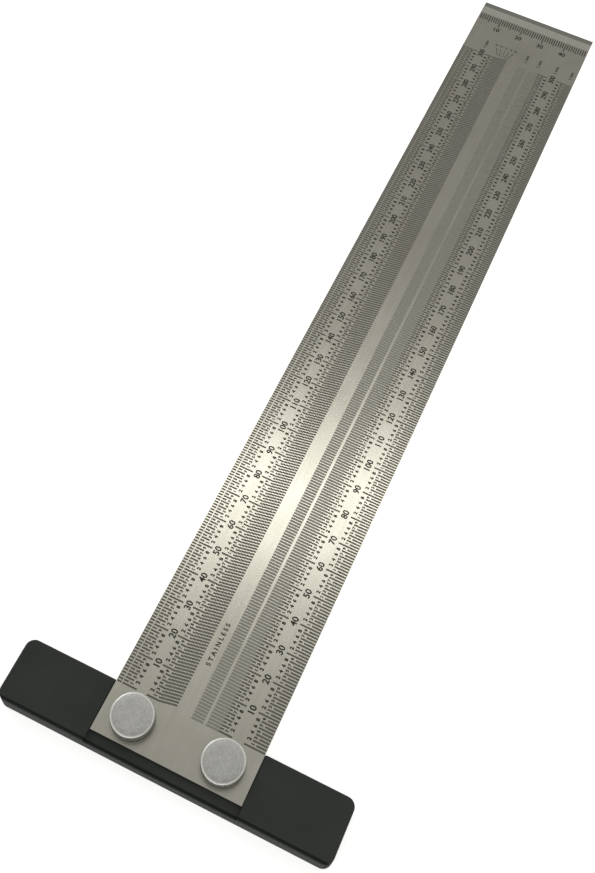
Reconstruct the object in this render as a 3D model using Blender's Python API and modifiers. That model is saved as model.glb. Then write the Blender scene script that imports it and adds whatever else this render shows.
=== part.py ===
"""Scribing T square: a thin stainless blade clamped in a black aluminium head by two thumb screws.

Metres, +Z up. The origin is the middle of the head's underside. +Y runs from the head along the blade,
and +X runs along the head. The scale on the blade starts at the head's working face.
"""

import math

import bmesh
import bpy
from mathutils import Matrix, Vector

MM = 0.001
GAP = 0.3 * MM  # left between pieces that touch on the real tool

# Head: a flat bar across the end of the blade
HEAD_LENGTH = 110 * MM
HEAD_WIDTH = 20 * MM
HEAD_THICKNESS = 8 * MM
HEAD_CORNER = 3 * MM
HEAD_EDGE_BREAK = 0.35 * MM
WORKING_FACE_Y = HEAD_WIDTH / 2

# Blade: 300 mm of scale, a tongue over the head and a margin beyond the scale
BLADE_WIDTH = 50 * MM
BLADE_THICKNESS = 1 * MM
SCALE_LENGTH = 300 * MM
TONGUE = 16 * MM
FAR_MARGIN = 31 * MM
END_FACET = 4.2 * MM
END_FACET_DROP = 0.12 * MM
TIP_FACET = 3.2 * MM
TIP_FACET_DROP = 0.85 * MM
BLADE_TOP_Z = HEAD_THICKNESS
BLADE_UNDERSIDE_Z = BLADE_TOP_Z - BLADE_THICKNESS
BLADE_NEAR_Y = WORKING_FACE_Y - TONGUE
BLADE_FAR_Y = WORKING_FACE_Y + SCALE_LENGTH + FAR_MARGIN

# Pocket: milled straight across the head for the blade's tongue
POCKET_WIDTH = BLADE_WIDTH + 2 * GAP
POCKET_FLOOR_Z = BLADE_UNDERSIDE_Z - GAP

# Thumb screws: an aluminium knob pressed on an M4 steel stud
SCREW_SPACING = 30 * MM
SCREW_FROM_FACE = 8 * MM
SCREW_Y = WORKING_FACE_Y - SCREW_FROM_FACE
KNOB_RADIUS = 6.75 * MM
KNOB_FOOT_RADIUS = 6.2 * MM
KNOB_HEIGHT = 4.7 * MM
KNOB_RIM = 0.5 * MM
KNOB_FOOT_HEIGHT = 0.5 * MM
KNOB_Z = BLADE_TOP_Z + GAP
STUD_RADIUS = 2 * MM
STUD_TIP_CHAMFER = 0.5 * MM
STUD_IN_KNOB = 3.2 * MM
STUD_TIP_Z = 0.8 * MM
BORE_RADIUS = STUD_RADIUS + GAP
ROUND_STEPS = 64
BORE_STEPS = 48

parts = bpy.data.collections.new("t_square")
cutters = bpy.data.collections.new("cutters")


def clear_scene():
    for found in list(bpy.data.objects):
        bpy.data.objects.remove(found, do_unlink=True)
    bpy.context.scene.collection.children.link(parts)
    bpy.context.scene.collection.children.link(cutters)


def material(name, colour, roughness, metallic):
    made = bpy.data.materials.new(name)
    made.use_nodes = True
    shader = made.node_tree.nodes["Principled BSDF"]
    shader.inputs["Base Color"].default_value = (*colour, 1)
    shader.inputs["Roughness"].default_value = roughness
    shader.inputs["Metallic"].default_value = metallic
    return made


def add_part(name, mesh, finish, location=(0, 0, 0)):
    made = bpy.data.objects.new(name, mesh)
    made.location = location
    mesh.materials.append(finish)
    parts.objects.link(made)
    return made


def add_cutter(name, mesh, location):
    made = bpy.data.objects.new(name, mesh)
    made.location = location
    made.hide_render = True
    made.display_type = "WIRE"
    cutters.objects.link(made)
    return made


def box_mesh(name, size):
    shape = bmesh.new()
    bmesh.ops.create_cube(shape, size=1, matrix=Matrix.Diagonal((*size, 1)))
    mesh = bpy.data.meshes.new(name)
    shape.to_mesh(mesh)
    shape.free()
    return mesh


def rounded_bar_mesh(name, size, corner):
    """A box whose four upright edges are rounded."""
    shape = bmesh.new()
    bmesh.ops.create_cube(shape, size=1, matrix=Matrix.Diagonal((*size, 1)))
    upright = [e for e in shape.edges if abs((e.verts[0].co - e.verts[1].co).z) > size[2] / 2]
    bmesh.ops.bevel(shape, geom=upright, offset=corner, segments=8, profile=0.5, affect="EDGES")
    mesh = bpy.data.meshes.new(name)
    shape.to_mesh(mesh)
    shape.free()
    return mesh


def cylinder_mesh(name, radius, length, steps):
    shape = bmesh.new()
    bmesh.ops.create_cone(
        shape, cap_ends=True, segments=steps, radius1=radius, radius2=radius, depth=length
    )
    mesh = bpy.data.meshes.new(name)
    shape.to_mesh(mesh)
    shape.free()
    return mesh


def turned(name, profile, finish, location):
    """A solid of revolution about Z, from (radius, height) points that run from the top down."""
    mesh = bpy.data.meshes.new(name)
    edges = [(i, i + 1) for i in range(len(profile) - 1)]
    mesh.from_pydata([(radius, 0, height) for radius, height in profile], edges, [])
    made = add_part(name, mesh, finish, location)
    screw = made.modifiers.new("turn", "SCREW")
    screw.steps = ROUND_STEPS
    screw.render_steps = ROUND_STEPS
    screw.use_merge_vertices = True
    screw.merge_threshold = 0.00001
    screw.use_smooth_shade = False
    return made


def cut(target, cutter):
    boolean = target.modifiers.new(cutter.name, "BOOLEAN")
    boolean.operation = "DIFFERENCE"
    boolean.solver = "EXACT"
    boolean.object = cutter


def edge_break(target, width):
    bevel = target.modifiers.new("edge_break", "BEVEL")
    bevel.width = width
    bevel.segments = 1
    bevel.limit_method = "ANGLE"
    bevel.angle_limit = math.radians(60)


def screw_places():
    return {
        "left": Vector((-SCREW_SPACING / 2, SCREW_Y, 0)),
        "right": Vector((SCREW_SPACING / 2, SCREW_Y, 0)),
    }


def make_head(finish, bores):
    size = (HEAD_LENGTH, HEAD_WIDTH, HEAD_THICKNESS)
    head = add_part(
        "t_head", rounded_bar_mesh("t_head", size, HEAD_CORNER), finish, (0, 0, HEAD_THICKNESS / 2)
    )
    edge_break(head, HEAD_EDGE_BREAK)
    depth = HEAD_THICKNESS - POCKET_FLOOR_Z
    pocket = box_mesh("pocket_cutter", (POCKET_WIDTH, 2 * HEAD_WIDTH, 2 * depth))
    cut(head, add_cutter("pocket_cutter", pocket, (0, 0, HEAD_THICKNESS)))
    for bore in bores:
        cut(head, bore)


def make_blade(finish, bores):
    """The side profile of the blade, drawn as (y, z), pulled out to the blade's width along X."""
    facet_y = BLADE_FAR_Y - TIP_FACET
    profile = [
        (BLADE_NEAR_Y, BLADE_UNDERSIDE_Z),
        (BLADE_FAR_Y, BLADE_UNDERSIDE_Z),
        (BLADE_FAR_Y, BLADE_TOP_Z - TIP_FACET_DROP),
        (facet_y, BLADE_TOP_Z - END_FACET_DROP),
        (facet_y - END_FACET, BLADE_TOP_Z),
        (BLADE_NEAR_Y, BLADE_TOP_Z),
    ]
    outline = bpy.data.curves.new("blade_profile", "CURVE")
    outline.dimensions = "2D"
    outline.fill_mode = "BOTH"
    outline.extrude = BLADE_WIDTH / 2
    line = outline.splines.new("POLY")
    line.points.add(len(profile) - 1)
    line.use_cyclic_u = True
    for point, (y, z) in zip(line.points, profile):
        point.co = (y, z, 0, 1)
    holder = bpy.data.objects.new("blade_profile", outline)
    # the outline's own x, y and z become the tool's Y, Z and X
    holder.matrix_world = Matrix(((0, 0, 1, 0), (1, 0, 0, 0), (0, 1, 0, 0), (0, 0, 0, 1)))
    parts.objects.link(holder)
    bpy.context.view_layer.update()
    evaluated = holder.evaluated_get(bpy.context.evaluated_depsgraph_get())
    mesh = bpy.data.meshes.new_from_object(evaluated)
    shape = bmesh.new()
    shape.from_mesh(mesh)
    bmesh.ops.remove_doubles(shape, verts=shape.verts, dist=0.00001)
    shape.to_mesh(mesh)
    shape.free()
    blade = add_part("blade", mesh, finish)
    blade.matrix_world = holder.matrix_world
    bpy.data.objects.remove(holder, do_unlink=True)
    for bore in bores:
        cut(blade, bore)


def make_bores():
    """One long bore for each thumb screw, through the head and the blade."""
    made = []
    for side, place in screw_places().items():
        mesh = cylinder_mesh(f"bore_{side}", BORE_RADIUS, 4 * HEAD_THICKNESS, BORE_STEPS)
        made.append(add_cutter(f"bore_{side}", mesh, (place.x, place.y, 0)))
    return made


def make_knob(side, place, finish):
    """A low round knob with a chamfered rim, a stepped foot and a blind bore for its stud."""
    socket_top = STUD_IN_KNOB + GAP
    profile = [
        (0, KNOB_HEIGHT),
        (KNOB_RADIUS - KNOB_RIM, KNOB_HEIGHT),
        (KNOB_RADIUS, KNOB_HEIGHT - KNOB_RIM),
        (KNOB_RADIUS, KNOB_FOOT_HEIGHT),
        (KNOB_FOOT_RADIUS, 0),
        (BORE_RADIUS, 0),
        (BORE_RADIUS, socket_top),
        (0, socket_top),
    ]
    turned(f"knob_{side}", profile, finish, (place.x, place.y, KNOB_Z))


def make_stud(side, place, finish):
    top = KNOB_Z + STUD_IN_KNOB - STUD_TIP_Z
    profile = [
        (0, top),
        (STUD_RADIUS, top),
        (STUD_RADIUS, STUD_TIP_CHAMFER),
        (STUD_RADIUS - STUD_TIP_CHAMFER, 0),
        (0, 0),
    ]
    turned(f"stud_{side}", profile, finish, (place.x, place.y, STUD_TIP_Z))


def main():
    clear_scene()
    black_anodised = material("black_anodised", (0.03, 0.033, 0.032), 0.45, 0.4)
    stainless = material("stainless", (0.5, 0.49, 0.44), 0.35, 1)
    aluminium = material("aluminium", (0.62, 0.62, 0.6), 0.4, 1)
    steel = material("steel", (0.45, 0.45, 0.45), 0.3, 1)
    bores = make_bores()
    make_head(black_anodised, bores)
    make_blade(stainless, bores)
    for side, place in screw_places().items():
        make_knob(side, place, aluminium)
        make_stud(side, place, steel)


main()
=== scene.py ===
"""Looks for the scribing T square: brushed blade with its etched scales, black head, knurled knobs."""

import math

import bmesh
import bpy
from mathutils import Matrix, Vector


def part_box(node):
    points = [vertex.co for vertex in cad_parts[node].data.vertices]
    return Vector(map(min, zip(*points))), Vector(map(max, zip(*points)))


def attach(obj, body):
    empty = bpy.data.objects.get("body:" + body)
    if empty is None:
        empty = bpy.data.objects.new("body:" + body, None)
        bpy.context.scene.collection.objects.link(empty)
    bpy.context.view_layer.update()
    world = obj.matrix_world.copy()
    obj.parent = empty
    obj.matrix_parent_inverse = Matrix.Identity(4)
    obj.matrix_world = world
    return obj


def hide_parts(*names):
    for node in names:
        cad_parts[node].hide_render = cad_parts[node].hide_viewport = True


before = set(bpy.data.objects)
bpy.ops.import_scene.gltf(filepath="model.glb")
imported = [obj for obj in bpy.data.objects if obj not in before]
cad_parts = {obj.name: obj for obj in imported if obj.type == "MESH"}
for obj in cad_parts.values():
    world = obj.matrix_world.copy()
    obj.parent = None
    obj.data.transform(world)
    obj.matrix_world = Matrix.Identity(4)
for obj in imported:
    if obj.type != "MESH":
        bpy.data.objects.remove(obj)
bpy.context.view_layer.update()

MM = 0.001

# Where the CAD parts lie
blade_low, blade_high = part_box("blade")
head_low, head_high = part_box("t_head")
BLADE_TOP = blade_high.z
BLADE_WIDTH = blade_high.x - blade_low.x
BLADE_END = blade_high.y
ZERO = head_high.y  # the scale starts at the head's working face
SCALE_MARKS = 300  # one millimetre apart

# Etched marks
TICK_WIDTH = 0.55 * MM
STAIR_WIDTH = 0.62 * MM
BAND_WIDTH = 0.72 * MM
END_TICK_WIDTH = 0.4 * MM
FAN_WIDTH = 0.22 * MM
MARK_PROUD = 0.02 * MM
MARK_SUNK = 0.03 * MM
EDGE_CLEAR = 0.15 * MM

# Left scale, as distances from the blade's left edge in millimetres
LEFT_DASH = (0.15, 1.65)
LEFT_TICK_START = 2.0
LEFT_TICK_END = {"odd": 3.5, "even": 4.9, "ten": 6.9}
LEFT_DIGITS = {"odd": 4.65, "even": 6.2}
LEFT_NUMBERS = 8.75
INNER_DIGITS = {"even": 11.1, "odd": 12.65}
INNER_START = {"odd": 13.9, "even": 12.3, "ten": 10.3}
STAIR_START = 14.8
STAIR_STEPS = 5
STAIR_TREAD = 1.06
STAIR_RISE = 0.2

# Right scale
PLAIN_BAND = (25.4, 29.4)
RIGHT_BAND_START = 30.3
RIGHT_BAND_STOP = 34.6
RIGHT_BAND_END = {"odd": 35.7, "even": 37.1, "ten": 38.9}
RIGHT_DIGITS = {"odd": 36.7, "even": 38.15}
RIGHT_NUMBERS = 40.85
OUTER_DIGITS = {"even": 43.7, "odd": 45.4}
OUTER_START = {"odd": 46.5, "even": 44.9, "ten": 42.9}

# Far end, as distances from the blade's end
# The ground strip is painted paler, partly as a painted highlight; past it the blade's end is painted dark as
# shade
GROUND_STRIP_SHEEN = (3.3 * MM, 7.4 * MM)
END_TICKS = 8.0 * MM
END_TICK_LENGTH = {"one": 3.3 * MM, "five": 4.0 * MM, "ten": 5.0 * MM}
END_NUMBERS = 14.9 * MM

# Labels of the bands and fan of the stepped band, as distances past the last mark
LABEL_COLUMNS = (LEFT_NUMBERS, 27.4, 33.2, RIGHT_NUMBERS, 47.6)  # millimetres from the left edge
LABEL_LINE = 6 * MM
FAN_START = 1.8 * MM
FAN_SPREAD = 0.9 * MM  # how far each line leans more than its neighbour
FAN_LABELS = 7.6 * MM
FAN_LABEL_SPREAD = 1.2  # times as far from the middle as the lines' ends

# Material word on the blank strip between the scales
WORD = "STAINLESS"
WORD_COLUMN = 22.75 * MM
WORD_MIDDLE = 23 * MM  # past the scale's zero
WORD_SPACING = 1.55

# Etched characters: heights, and how much bolder than the font, in parts of its size
DIGIT_HEIGHT = {"odd": 1.15 * MM, "even": 1.35 * MM}
NUMBER_HEIGHT = 2.3 * MM
LABEL_HEIGHT = 1.5 * MM
FAN_LABEL_HEIGHT = 1.2 * MM
WORD_HEIGHT = 1.6 * MM
DIGIT_BOLD = 0.055
NUMBER_BOLD = 0.028
LABEL_BOLD = 0.02
WORD_BOLD = 0.03
GLYPH_CURVE_STEPS = 3

# Painted shade: a dark line on the head just behind its front edge, as distances from its front face
FRONT_SHADE_LINE = (0.3 * MM, 1.1 * MM)

# Knobs
KNURLS = 60
KNURL_DEPTH = 0.22 * MM
KNURL_SAMPLES = 8
KNURL_RUN_IN = 0.4 * MM  # from the foot to the knurl's full height
KNURL_RUN_OUT = 0.25 * MM  # from the knurl's full height to the rim
RIM = 0.5 * MM
FOOT = 0.5 * MM
# Outline of the foot and the rounded rim, as (reach past the knurl's floor, height)
FOOT_OUTLINE = ((-0.5 * MM, 0), (-0.35 * MM, FOOT), (0, FOOT + 0.15 * MM))
RIM_OUTLINE = ((0.1 * MM, -RIM), (0.02 * MM, -0.55 * RIM), (-0.35 * RIM, -0.2 * RIM))
FACE_INSET = 0.9 * RIM
FACE_RINGS = (0.6, 0.2)  # parts of the radius
BORE_GAP = 0.3 * MM

# Studs
THREAD_PITCH = 0.7 * MM
THREAD_DEPTH = 0.4 * MM
THREAD_SIDES = 36
THREAD_SAMPLES = 8
STUD_CHAMFER = 0.5 * MM

SHARP_ANGLE = 28  # degrees; flatter edges of a turned piece are shaded smooth


def collection_link(thing):
    bpy.context.scene.collection.objects.link(thing)
    return thing


# ---------------------------------------------------------------- materials


class Finish:
    """A Principled material with a few helpers for building its nodes."""

    def __init__(self, name, roughness, metallic):
        self.material = bpy.data.materials.new(name)
        self.material.use_nodes = True
        self.tree = self.material.node_tree
        self.shader = self.tree.nodes["Principled BSDF"]
        self.shader.inputs["Roughness"].default_value = roughness
        self.shader.inputs["Metallic"].default_value = metallic
        self.place = self.tree.nodes.new("ShaderNodeTexCoord").outputs["Object"]

    def node(self, kind, **inputs):
        made = self.tree.nodes.new(kind)
        for name, value in inputs.items():
            self.feed(made.inputs[name.replace("_", " ")], value)
        return made

    def feed(self, socket, value):
        if isinstance(value, bpy.types.NodeSocket):
            self.tree.links.new(value, socket)
        else:
            socket.default_value = value

    def surface(self, **sources):
        """Feeds the shader's own inputs, such as Base_Color, and gives back the finished material."""
        for name, source in sources.items():
            self.feed(self.shader.inputs[name.replace("_", " ")], source)
        return self.material

    def noise(self, per_metre, detail, stretch=(1, 1, 1)):
        mapping = self.node("ShaderNodeMapping", Vector=self.place, Scale=stretch)
        vector = mapping.outputs["Vector"]
        return self.node(
            "ShaderNodeTexNoise", Vector=vector, Scale=per_metre, Detail=detail
        ).outputs["Fac"]

    def spread(self, source, low, high, source_low=0.3, source_high=0.7):
        return self.node(
            "ShaderNodeMapRange",
            Value=source,
            From_Min=source_low,
            From_Max=source_high,
            To_Min=low,
            To_Max=high,
        ).outputs["Result"]

    def colours(self, source, dark, light, start=0.3, stop=0.7):
        made = self.node("ShaderNodeValToRGB", Fac=source)
        for element, place, colour in zip(made.color_ramp.elements, (start, stop), (dark, light)):
            element.position = place
            element.color = (*colour, 1)
        return made.outputs["Color"]

    def mix(self, fac, first, second, blend="MIX"):
        made = self.node("ShaderNodeMix")
        made.data_type = "RGBA"
        made.blend_type = blend
        # the node's colour sockets, by number because other sockets share their names
        colour_a, colour_b, colour_out = 6, 7, 2
        self.feed(made.inputs["Factor"], fac)
        self.feed(made.inputs[colour_a], first)
        self.feed(made.inputs[colour_b], second)
        return made.outputs[colour_out]

    def band(self, axis, start, stop, soft=0.1 * MM):
        """1 between start and stop along an axis of the object's own space, fading to 0 over soft."""
        along = self.node("ShaderNodeSeparateXYZ", Vector=self.place).outputs[axis]
        product = self.node("ShaderNodeMath")
        product.operation = "MULTIPLY"
        self.feed(product.inputs[0], self.spread(along, 0, 1, start - soft, start + soft))
        self.feed(product.inputs[1], self.spread(along, 1, 0, stop - soft, stop + soft))
        return product.outputs[0]

    def bump(self, source, strength, distance, after=None):
        made = self.node("ShaderNodeBump", Height=source, Strength=strength, Distance=distance)
        if after is not None:
            self.feed(made.inputs["Normal"], after)
        return made.outputs["Normal"]


def brushed_steel():
    """Rolled stainless sheet, brushed along the blade. Near its far end a ground strip is painted paler,
    partly as a painted highlight, and the last millimetres are painted dark as shade.
    """
    finish = Finish("brushed_steel", 0.24, 1.0)
    streaks = finish.noise(1.0, detail=2.0, stretch=(5200, 70, 5200))
    haze = finish.noise(70, detail=4.0)
    grain = finish.noise(6500, detail=1.0)
    base = finish.colours(haze, dark=(0.59, 0.578, 0.515), light=(0.655, 0.645, 0.585))
    strip_start, strip_stop = BLADE_END - GROUND_STRIP_SHEEN[1], BLADE_END - GROUND_STRIP_SHEEN[0]
    # painted highlight: the ground strip's steel is coloured paler
    base = finish.mix(finish.band("Y", strip_start, strip_stop), base, (0.80, 0.79, 0.73, 1))
    # painted shade: the end of the blade beyond the strip is coloured dark
    end_painted_shade = finish.band("Y", strip_stop, BLADE_END + GROUND_STRIP_SHEEN[0])
    base = finish.mix(end_painted_shade, base, (0.24, 0.236, 0.216, 1))
    lines = finish.colours(streaks, dark=(0.955, 0.955, 0.955), light=(1, 1, 1))
    fine = finish.bump(grain, strength=0.03, distance=0.02 * MM)
    return finish.surface(
        Base_Color=finish.mix(1.0, base, lines, "MULTIPLY"),
        Roughness=finish.spread(streaks, 0.21, 0.26),
        Normal=finish.bump(streaks, strength=0.045, distance=0.03 * MM, after=fine),
    )


def etched(name, dark, light, metallic):
    """Burnt or etched marks, slightly uneven in depth and colour."""
    finish = Finish(name, 0.6, metallic)
    patches = finish.noise(700, detail=2.0)
    pits = finish.noise(9000, detail=1.0)
    return finish.surface(
        Base_Color=finish.colours(patches, dark, light),
        Roughness=finish.spread(patches, 0.5, 0.7),
        Normal=finish.bump(pits, strength=0.2, distance=0.02 * MM),
    )


def etched_finishes():
    """Characters are burnt black, ticks are a dark grey, and the bands are frosted metal."""
    return {
        "character": etched("etched_character", (0.018, 0.015, 0.011), (0.045, 0.038, 0.028), 0.2),
        "tick": etched("etched_tick", (0.135, 0.130, 0.108), (0.180, 0.174, 0.146), 0.3),
        "stair": etched("etched_stair", (0.155, 0.150, 0.130), (0.205, 0.198, 0.172), 0.3),
        "band": etched("etched_band", (0.32, 0.315, 0.285), (0.40, 0.393, 0.355), 0.9),
    }


def black_anodised():
    """Satin black anodising over a fine blasted grain, with a line of painted shade just behind the front
    edge.
    """
    finish = Finish("black_anodised", 0.65, 0.0)
    cloud = finish.noise(60, detail=3.0)
    grain = finish.noise(6000, detail=2.0)
    base = finish.colours(cloud, dark=(0.050, 0.055, 0.054), light=(0.061, 0.066, 0.065))
    # painted shade along the head's front edge break
    line = finish.band("Y", head_low.y + FRONT_SHADE_LINE[0], head_low.y + FRONT_SHADE_LINE[1])
    return finish.surface(
        Specular_IOR_Level=0.03,
        Base_Color=finish.mix(line, base, (0.020, 0.024, 0.022, 1)),
        Roughness=finish.spread(cloud, 0.58, 0.7),
        Normal=finish.bump(grain, strength=0.12, distance=0.03 * MM),
    )


def blasted_aluminium():
    """The knob's matte face: blasted, with a faint trace of turning under it."""
    finish = Finish("blasted_aluminium", 0.5, 1.0)
    mottle = finish.noise(1400, detail=4.0)
    grain = finish.noise(7000, detail=2.0)
    rings = finish.node("ShaderNodeTexWave", Vector=finish.place, Scale=900.0, Distortion=1.5)
    rings.wave_type = "RINGS"
    rings.rings_direction = "Z"
    ringed = finish.bump(rings.outputs["Fac"], strength=0.04, distance=0.02 * MM)
    return finish.surface(
        Base_Color=finish.colours(mottle, dark=(0.50, 0.505, 0.50), light=(0.70, 0.70, 0.69)),
        Roughness=finish.spread(mottle, 0.46, 0.6),
        Normal=finish.bump(grain, strength=0.3, distance=0.03 * MM, after=ringed),
    )


def turned_aluminium(name, dark, light, smooth, rough):
    """Machined aluminium for the knob's rim, side and foot. The copy for the side and foot is given darker
    colours as painted shade.
    """
    finish = Finish(name, 0.3, 1.0)
    streaks = finish.noise(1.0, detail=2.0, stretch=(1500, 1500, 9000))
    return finish.surface(
        Base_Color=finish.colours(streaks, dark, light),
        Roughness=finish.spread(streaks, smooth, rough),
        Normal=finish.bump(streaks, strength=0.15, distance=0.02 * MM),
    )


def screw_steel():
    """Zinc plated steel, bright on the crests of the thread."""
    finish = Finish("screw_steel", 0.28, 1.0)
    patches = finish.noise(1800, detail=3.0)
    grain = finish.noise(9000, detail=2.0)
    return finish.surface(
        Base_Color=finish.colours(patches, dark=(0.42, 0.43, 0.44), light=(0.60, 0.61, 0.62)),
        Roughness=finish.spread(patches, 0.22, 0.38),
        Normal=finish.bump(grain, strength=0.12, distance=0.02 * MM),
    )


# ---------------------------------------------------------------- etched marks


class Marks:
    """Flat etched shapes gathered into one mesh, in the frame's own metres."""

    def __init__(self):
        self.points = []
        self.faces = []

    def add(self, points, faces):
        start = len(self.points)
        self.points += points
        self.faces += [tuple(start + i for i in face) for face in faces]

    def line(self, ends, width):
        """A straight mark from one (x, y) to another."""
        first, last = (Vector(end) for end in ends)
        side = (last - first).orthogonal().normalized() * width / 2
        corners = [first - side, last - side, last + side, first + side]
        low, high = BLADE_TOP - MARK_SUNK, BLADE_TOP + MARK_PROUD
        points = [(c.x, c.y, low) for c in corners] + [(c.x, c.y, high) for c in corners]
        sides = [(i, (i + 1) % 4, (i + 1) % 4 + 4, i + 4) for i in range(4)]
        self.add(points, [(3, 2, 1, 0), (4, 5, 6, 7), *sides])

    def tick(self, start, stop, y, width=TICK_WIDTH):
        """A mark across the blade, from start to stop millimetres off the left edge."""
        left = blade_low.x
        right_end = min(left + stop * MM, blade_high.x - EDGE_CLEAR)
        self.line(((left + start * MM, y), (right_end, y)), width)

    def text(self, words, height, x, y, along=True, bold=0.0, spacing=1.0):
        """Words centred on (x, y), read along the blade or across it."""
        points, faces = glyphs(words, bold, spacing)
        turn = Matrix.Rotation(math.pi / 2 if along else 0, 3, "Z")
        placed = []
        for point in points:
            flat = turn @ Vector((point[0] * height, point[1] * height, 0))
            z = BLADE_TOP + (MARK_PROUD if point[2] > 0 else -MARK_SUNK)
            placed.append((x + flat.x, y + flat.y, z))
        self.add(placed, faces)

    def piece(self, name, finish):
        mesh = bpy.data.meshes.new(name)
        mesh.from_pydata(self.points, [], self.faces)
        mesh.materials.append(finish)
        made = collection_link(bpy.data.objects.new(name, mesh))
        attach(made, "rule")
        return made


glyph_cache = {}


def glyphs(words, bold, spacing):
    """A closed solid of the words, one unit high, centred, as points and faces. Its z is -1 or 1."""
    if (words, bold, spacing) not in glyph_cache:
        curve = bpy.data.curves.new("words", "FONT")
        curve.body = words
        curve.resolution_u = GLYPH_CURVE_STEPS
        curve.extrude = 0.5
        curve.offset = bold
        curve.space_character = spacing
        holder = collection_link(bpy.data.objects.new("words", curve))
        bpy.context.view_layer.update()
        evaluated = holder.evaluated_get(bpy.context.evaluated_depsgraph_get())
        mesh = bpy.data.meshes.new_from_object(evaluated)
        shape = bmesh.new()
        shape.from_mesh(mesh)
        bmesh.ops.remove_doubles(shape, verts=shape.verts, dist=0.0001)
        places = [v.co.copy() for v in shape.verts]
        low = Vector(map(min, *places))
        high = Vector(map(max, *places))
        middle, tall = (low + high) / 2, high.y - low.y
        points = [
            ((p.x - middle.x) / tall, (p.y - middle.y) / tall, 1 if p.z > 0 else -1) for p in places
        ]
        faces = [tuple(v.index for v in f.verts) for f in shape.faces]
        shape.free()
        bpy.data.objects.remove(holder, do_unlink=True)
        bpy.data.meshes.remove(mesh)
        glyph_cache[words, bold, spacing] = points, faces
    return glyph_cache[words, bold, spacing]


def kind_of(mark):
    if mark % 10 == 0:
        return "ten"
    return "even" if mark % 2 == 0 else "odd"


def make_scale_lines(finishes):
    """The ticks of both scales, the stepped band and the two plain bands."""
    left = Marks()
    stair = Marks()
    bands = Marks()
    right = Marks()
    for mark in range(SCALE_MARKS + 1):
        y = ZERO + mark * MM
        kind = kind_of(mark)
        left.tick(*LEFT_DASH, y)
        left.tick(LEFT_TICK_START, LEFT_TICK_END[kind], y)
        left.tick(INNER_START[kind], STAIR_START, y)
        for step in range(STAIR_STEPS):
            start = STAIR_START + step * STAIR_TREAD
            stair.tick(start, start + STAIR_TREAD, y + (step + 1) * STAIR_RISE * MM, STAIR_WIDTH)
        bands.tick(*PLAIN_BAND, y, BAND_WIDTH)
        bands.tick(RIGHT_BAND_START, RIGHT_BAND_STOP, y, BAND_WIDTH)
        right.tick(RIGHT_BAND_STOP, RIGHT_BAND_END[kind], y)
        right.tick(OUTER_START[kind], BLADE_WIDTH / MM, y)
    left.piece("left_scale_ticks", finishes["tick"])
    stair.piece("stepped_scale_lines", finishes["stair"])
    bands.piece("plain_scale_bands", finishes["band"])
    right.piece("right_scale_ticks", finishes["tick"])


def make_numbers(finish):
    """10 to 300 down both scales, and the small digits between them."""
    numbers = Marks()
    digits = Marks()
    for mark in range(1, SCALE_MARKS + 1):
        y = ZERO + mark * MM
        kind = kind_of(mark)
        if kind == "ten":
            for column in (LEFT_NUMBERS, RIGHT_NUMBERS):
                numbers.text(str(mark), NUMBER_HEIGHT, blade_low.x + column * MM, y, bold=NUMBER_BOLD)
        else:
            for columns in (LEFT_DIGITS, INNER_DIGITS, RIGHT_DIGITS, OUTER_DIGITS):
                x = blade_low.x + columns[kind] * MM
                digits.text(str(mark % 10), DIGIT_HEIGHT[kind], x, y, bold=DIGIT_BOLD)
    numbers.piece("scale_numbers", finish)
    digits.piece("scale_digits", finish)


def make_end_scale(finish):
    """The short scale across the far end, the bands' labels, the stepped band's fan and the material word."""
    marks = Marks()
    edge = BLADE_END - END_TICKS
    for mark in range(1, round(BLADE_WIDTH / MM)):
        x = blade_low.x + mark * MM
        length = END_TICK_LENGTH[{0: "ten", 5: "five"}.get(mark % 10, "one")]
        marks.line(((x, edge), (x, edge - length)), END_TICK_WIDTH)
        if mark % 10 == 0:
            marks.text(str(mark), NUMBER_HEIGHT, x, BLADE_END - END_NUMBERS, along=False, bold=NUMBER_BOLD)
    top = ZERO + SCALE_MARKS * MM
    for column in LABEL_COLUMNS:
        marks.text("1 mm", LABEL_HEIGHT, blade_low.x + column * MM, top + LABEL_LINE, bold=LABEL_BOLD)
    middle = (STAIR_STEPS - 1) / 2
    for step in range(STAIR_STEPS):
        x = blade_low.x + (STAIR_START + (step + 0.5) * STAIR_TREAD) * MM
        lean = (step - middle) * FAN_SPREAD
        marks.line(((x, top + FAN_START), (x + lean, top + LABEL_LINE)), FAN_WIDTH)
        label = f".{2 * step}" if step else "0"
        label_x = x + lean * FAN_LABEL_SPREAD
        marks.text(label, FAN_LABEL_HEIGHT, label_x, top + FAN_LABELS, bold=LABEL_BOLD)
    word_place = (blade_low.x + WORD_COLUMN, ZERO + WORD_MIDDLE)
    marks.text(WORD, WORD_HEIGHT, *word_place, bold=WORD_BOLD, spacing=WORD_SPACING)
    marks.piece("end_scale", finish)


# ---------------------------------------------------------------- knobs and studs


def lathe_grid(name, rows, columns, point):
    """A closed skin of rows by columns round Z. The first and last rows are closed with a face."""
    points = [
        point(row, 2 * math.pi * column / columns) for row in range(rows) for column in range(columns)
    ]
    faces = []
    for low in range(0, (rows - 1) * columns, columns):
        high = low + columns
        for column in range(columns):
            after = (column + 1) % columns
            faces.append((low + column, low + after, high + after, high + column))
    faces.append(tuple(reversed(range(columns))))
    faces.append(tuple((rows - 1) * columns + column for column in range(columns)))
    mesh = bpy.data.meshes.new(name)
    mesh.from_pydata(points, [], faces)
    return mesh


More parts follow.
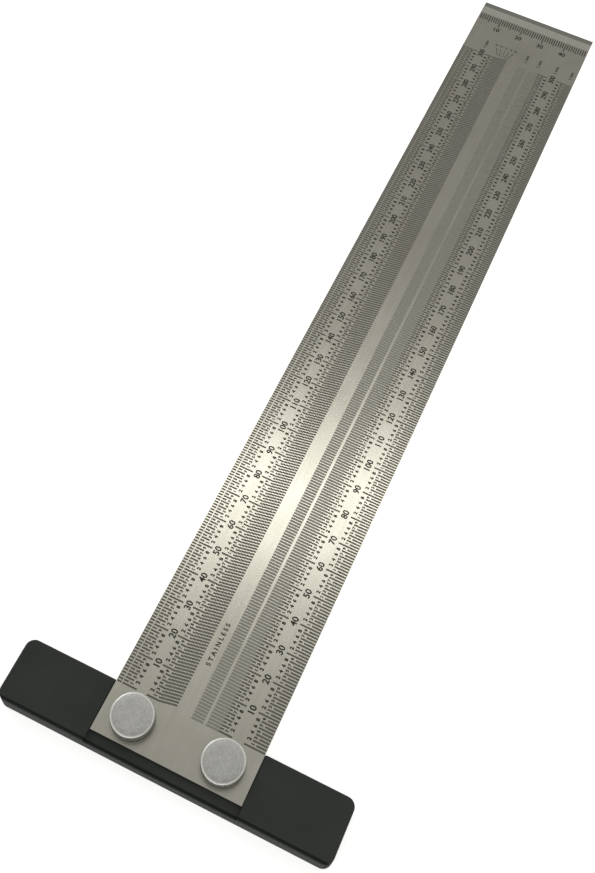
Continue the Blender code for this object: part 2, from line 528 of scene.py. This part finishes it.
def knob_mesh(radius, height, bore_radius, bore_top, finishes):
    """From the bore's roof, down it, across the foot, up the knurled side and over the rim to the face."""
    side = radius - KNURL_DEPTH
    knurl_low, knurl_high = FOOT + KNURL_RUN_IN, height - RIM - KNURL_RUN_OUT
    face_rings = [side - FACE_INSET] + [radius * part for part in FACE_RINGS]
    # each row: radius, height, how deep the knurl is cut, finish of the face above it
    outline = [(bore_radius, bore_top, 0, "side"), (bore_radius, 0, 0, "side")]
    outline += [(side + reach, z, 0, "side") for reach, z in FOOT_OUTLINE]
    outline += [(radius, knurl_low, 1, "side"), (radius, knurl_high, 1, "side")]
    outline += [(side + reach, height + z, 0, "rim") for reach, z in RIM_OUTLINE]
    outline += [(ring, height, 0, "face") for ring in face_rings]
    columns = KNURLS * KNURL_SAMPLES

    def point(row, angle):
        reach, z, knurl, _ = outline[row]
        wave = 0.5 - 0.5 * math.cos(KNURLS * angle)
        reach -= knurl * KNURL_DEPTH * wave
        return (reach * math.cos(angle), reach * math.sin(angle), z)

    mesh = lathe_grid("knurled_knob", len(outline), columns, point)
    names = list(finishes)
    for finish in finishes.values():
        mesh.materials.append(finish)
    for face in mesh.polygons:
        row = min(face.vertices) // columns
        face.material_index = names.index(outline[row][3])
    return mesh


def stud_mesh(radius, height, finish):
    """An M4 stud whose thread runs out at a chamfer at each end."""
    rows = round(height / THREAD_PITCH * THREAD_SAMPLES) + 1

    def point(row, angle):
        z = height * row / (rows - 1)
        turn = (z / THREAD_PITCH - angle / (2 * math.pi)) % 1
        cut = THREAD_DEPTH * (1 - abs(2 * turn - 1))
        chamfer = max(0, STUD_CHAMFER - min(z, height - z))
        reach = min(radius - cut, radius - chamfer)
        return (reach * math.cos(angle), reach * math.sin(angle), z)

    mesh = lathe_grid("threaded_stud", rows, THREAD_SIDES, point)
    mesh.materials.append(finish)
    return mesh


def stand_on_axis(name, mesh, low, high):
    """The mesh as an object that stands where a CAD piece stands, shaded smooth but for its sharp edges."""
    mesh.shade_smooth()
    mesh.set_sharp_from_angle(angle=math.radians(SHARP_ANGLE))
    made = collection_link(bpy.data.objects.new(name, mesh))
    axis = (low + high) / 2
    made.location = (axis.x, axis.y, low.z)
    return made


def make_thumb_screws(finishes, steel):
    for side in ("left", "right"):
        low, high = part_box(f"knob_{side}")
        stud_low, stud_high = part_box(f"stud_{side}")
        radius = (high.x - low.x) / 2
        stud_radius = (stud_high.x - stud_low.x) / 2
        bore_radius = stud_radius + BORE_GAP
        bore_top = stud_high.z - low.z + BORE_GAP
        knob_shape = knob_mesh(radius, high.z - low.z, bore_radius, bore_top, finishes)
        knob = stand_on_axis(f"knurled_knob_{side}", knob_shape, low, high)
        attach(knob, f"knob_{side}")
        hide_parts(f"knob_{side}")
        stud_shape = stud_mesh(stud_radius, stud_high.z - stud_low.z, steel)
        stud = stand_on_axis(f"threaded_stud_{side}", stud_shape, stud_low, stud_high)
        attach(stud, f"screw_{side}")
        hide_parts(f"stud_{side}")


# ---------------------------------------------------------------- studio

FLOOR_REACH = 30.0
FLOOR_GAP = 0.05 * MM
FLOOR_GLOW = 0.72

# Room: the height of a direction runs from -1 to 1, and is raised towards +Y by ROOM_LEAN
ROOM_BOTTOM = -0.2
ROOM_TOP = 1.0
ROOM_LEAN = 0.15
# Brightness at parts of the way from ROOM_BOTTOM to ROOM_TOP
ROOM_LEVELS = {0.0: 0.35, 0.25: 0.62, 0.55: 0.58, 0.70: 0.40, 0.82: 0.28, 1.0: 0.40}
ROOM_TINT = (1, 0.985, 0.93)

# Camera, which stands where the photograph's stood
CAMERA_PLACE = Vector((41.86, -71.14, 382.94)) * MM
CAMERA_AIM = Vector((-33.81, 159.68, 8.0)) * MM
CAMERA_ROLL = 7.94
CAMERA_LENS = 50.15
CAMERA_SENSOR = 36.0
CAMERA_SHIFT = -0.158
CAMERA_CLIP_START = 0.01


def make_floor():
    """A plain pale table, faintly lit from within like a product tabletop."""
    finish = Finish("pale_floor", 0.9, 0.0)
    cloud = finish.noise(3, detail=2.0)
    finish.surface(
        Base_Color=finish.colours(cloud, dark=(0.86, 0.86, 0.86), light=(0.88, 0.88, 0.88)),
        Emission_Color=(1, 1, 1, 1),
        Emission_Strength=FLOOR_GLOW,
    )
    mesh = bpy.data.meshes.new("floor")
    z = head_low.z - FLOOR_GAP
    corners = ((-1, -1), (1, -1), (1, 1), (-1, 1))
    mesh.from_pydata([(x * FLOOR_REACH, y * FLOOR_REACH, z) for x, y in corners], [], [(0, 1, 2, 3)])
    mesh.materials.append(finish.material)
    collection_link(bpy.data.objects.new("floor", mesh))


def area_light(name, place, aim, size, watts, colour=(1, 1, 1)):
    lamp = bpy.data.lights.new(name, "AREA")
    lamp.shape = "RECTANGLE"
    lamp.size, lamp.size_y = size
    lamp.energy = watts
    lamp.color = colour
    made = collection_link(bpy.data.objects.new(name, lamp))
    made.location = place
    made.rotation_euler = (Vector(aim) - Vector(place)).to_track_quat("-Z", "Y").to_euler()


def make_lights():
    """A soft overhead panel, whose reflection lies across the blade near the 80 mm mark, and a side panel."""
    aim = (0, 0.1, 0)
    area_light(
        "overhead_panel", (-0.115, 0.51, 1.0), aim, size=(0.9, 0.12), watts=1.0, colour=(1, 0.98, 0.92)
    )
    area_light("side_panel", (-1.2, 0.9, 0.9), aim, size=(0.8, 0.8), watts=3.0)


def make_room():
    """A pale room all round, brightest a little above the horizon."""
    world = bpy.data.worlds.new("room")
    bpy.context.scene.world = world
    world.use_nodes = True
    tree = world.node_tree
    direction = tree.nodes.new("ShaderNodeTexCoord").outputs["Generated"]
    split = tree.nodes.new("ShaderNodeSeparateXYZ")
    tree.links.new(direction, split.inputs[0])
    lean = tree.nodes.new("ShaderNodeMath")
    lean.operation = "MULTIPLY_ADD"
    tree.links.new(split.outputs["Y"], lean.inputs[0])
    lean.inputs[1].default_value = ROOM_LEAN
    tree.links.new(split.outputs["Z"], lean.inputs[2])
    height = tree.nodes.new("ShaderNodeMapRange")
    tree.links.new(lean.outputs[0], height.inputs["Value"])
    height.inputs["From Min"].default_value = ROOM_BOTTOM
    height.inputs["From Max"].default_value = ROOM_TOP
    ramp = tree.nodes.new("ShaderNodeValToRGB")
    tree.links.new(height.outputs["Result"], ramp.inputs["Fac"])
    elements = ramp.color_ramp.elements
    while len(elements) < len(ROOM_LEVELS):
        elements.new(0.5)
    for element, (place, level) in zip(elements, ROOM_LEVELS.items()):
        element.position = place
        element.color = (*(level * part for part in ROOM_TINT), 1)
    background = tree.nodes["Background"]
    tree.links.new(ramp.outputs["Color"], background.inputs["Color"])
    background.inputs["Strength"].default_value = 1.0


def make_camera():
    lens = bpy.data.cameras.new("camera")
    lens.lens = CAMERA_LENS
    lens.sensor_width = CAMERA_SENSOR
    lens.clip_start = CAMERA_CLIP_START
    lens.shift_y = CAMERA_SHIFT
    made = collection_link(bpy.data.objects.new("camera", lens))
    looking = (CAMERA_AIM - CAMERA_PLACE).to_track_quat("-Z", "Y").to_matrix()
    roll = Matrix.Rotation(math.radians(CAMERA_ROLL), 3, "Z")
    made.matrix_world = Matrix.Translation(CAMERA_PLACE) @ (looking @ roll).to_4x4()
    bpy.context.scene.camera = made


def set_material(node, finish):
    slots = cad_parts[node].material_slots
    if not slots:
        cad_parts[node].data.materials.append(finish)
    for slot in slots:
        slot.material = finish


def main():
    bpy.context.scene.view_settings.view_transform = "Standard"
    make_camera()
    make_lights()
    make_room()
    make_floor()
    set_material("blade", brushed_steel())
    set_material("t_head", black_anodised())
    marks = etched_finishes()
    make_scale_lines(marks)
    make_numbers(marks["character"])
    make_end_scale(marks["character"])
    knob_finishes = {
        "face": blasted_aluminium(),
        "rim": turned_aluminium("knob_rim", (0.88, 0.88, 0.86), (0.97, 0.97, 0.95), 0.42, 0.52),
        # the side, foot and bore are coloured darker than the rim, as painted shade on the knurl
        "side": turned_aluminium("knob_side_painted_shade", (0.26, 0.26, 0.25), (0.50, 0.50, 0.48), 0.3, 0.45),
    }
    make_thumb_screws(knob_finishes, screw_steel())


main()
